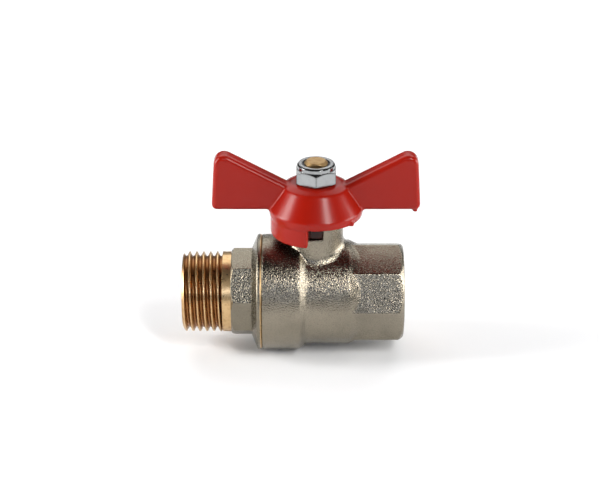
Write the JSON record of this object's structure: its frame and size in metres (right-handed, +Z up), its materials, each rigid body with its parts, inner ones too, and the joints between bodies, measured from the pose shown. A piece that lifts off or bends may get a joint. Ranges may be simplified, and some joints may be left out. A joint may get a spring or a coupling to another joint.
{
  "type": "ball valve",
  "caption": "Small quarter-turn ball valve with a butterfly handle, a male threaded end and a female threaded end, shown open.",
  "frame": {"origin": "the ball's centre, where the pipe's axis and the stem's axis cross", "axes": "+X along the pipe towards the female end, -Y the front, +Z up the stem"},
  "size_m": [0.0613, 0.0302, 0.0541],
  "materials": {
    "nickel_plate": "forged brass, sand-blasted and nickel-plated",
    "raw_brass": "turned brass: bare on the thread, nickel-plated on the neck and flange",
    "ball_chrome": "polished and chrome-plated brass",
    "seat_plastic": "turned white seal plastic",
    "stem_brass": "turned bare brass",
    "handle_paint": "die-cast, red powder coat",
    "zinc_steel": "bright zinc plate",
    "insert_nylon": "dark nylon"
  },
  "bodies": {
    "valve": {"valve_body": "nickel_plate", "end_connector": "raw_brass", "inlet_seat": "seat_plastic", "outlet_seat": "seat_plastic", "thrust_washer": "seat_plastic", "packing_ring_lower": "seat_plastic", "packing_ring_upper": "seat_plastic", "gland_nut": "stem_brass"},
    "handle": {"stem": "stem_brass", "wing_handle": "handle_paint", "lock_nut": "zinc_steel", "lock_nut_insert": "insert_nylon"},
    "ball": {"ball": "ball_chrome"}
  },
  "joints": [
    {"name": "handle_turn", "type": "hinge", "parent": "valve", "child": "handle", "pos_m": [0, 0, 0.02], "axis": [0, 0, 1], "range_deg": [-90, 0]},
    {"name": "ball_turn", "type": "hinge", "parent": "valve", "child": "ball", "pos_m": [0, 0, 0], "axis": [0, 0, 1], "range_deg": [-90, 0]}
  ],
  "couplings": [
    {"joint": "ball_turn", "follows": "handle_turn", "ratio": 1}
  ]
}
